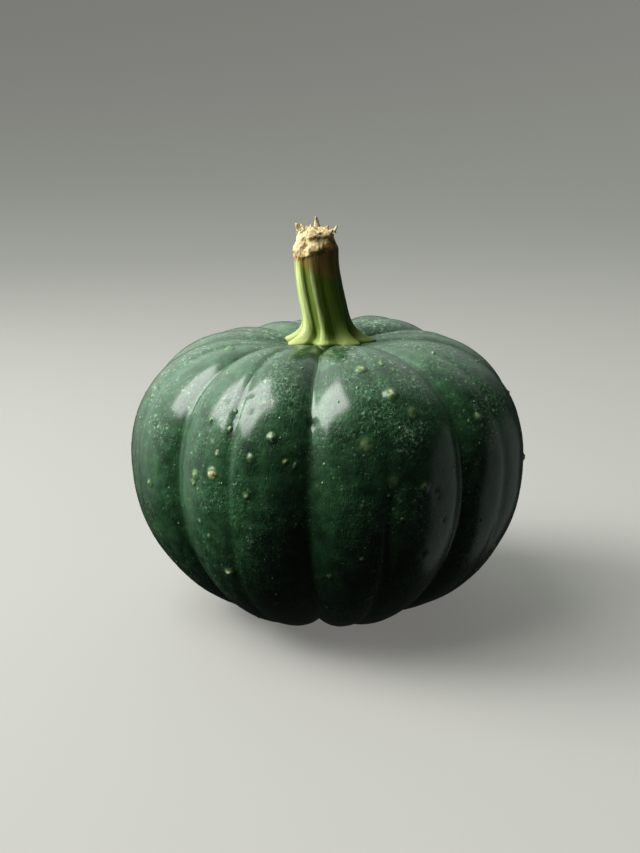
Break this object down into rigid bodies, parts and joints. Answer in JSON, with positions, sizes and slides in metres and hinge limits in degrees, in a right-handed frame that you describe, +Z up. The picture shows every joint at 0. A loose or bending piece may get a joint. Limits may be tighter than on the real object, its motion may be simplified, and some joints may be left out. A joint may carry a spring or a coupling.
{
  "type": "winter squash",
  "caption": "Round ribbed winter squash with deep vertical grooves, dark glossy warty rind and a fluted stem stub with a torn corky end; rests on the low points of its lobes.",
  "frame": {"origin": "on the resting plane, under the middle of the fruit", "axes": "+Z up from the blossom end to the stem, -Y towards the front of the fruit; the stem leans towards -X"},
  "size_m": [0.153, 0.1535, 0.1529],
  "materials": {
    "rind": "waxy semi-gloss dark green rind with pale flecks and warts",
    "stem": "dull fibrous green stem with pale ridges and a dry tan corky end"
  },
  "bodies": {
    "root": {"fruit": "rind", "stem": "stem"}
  },
  "joints": []
}
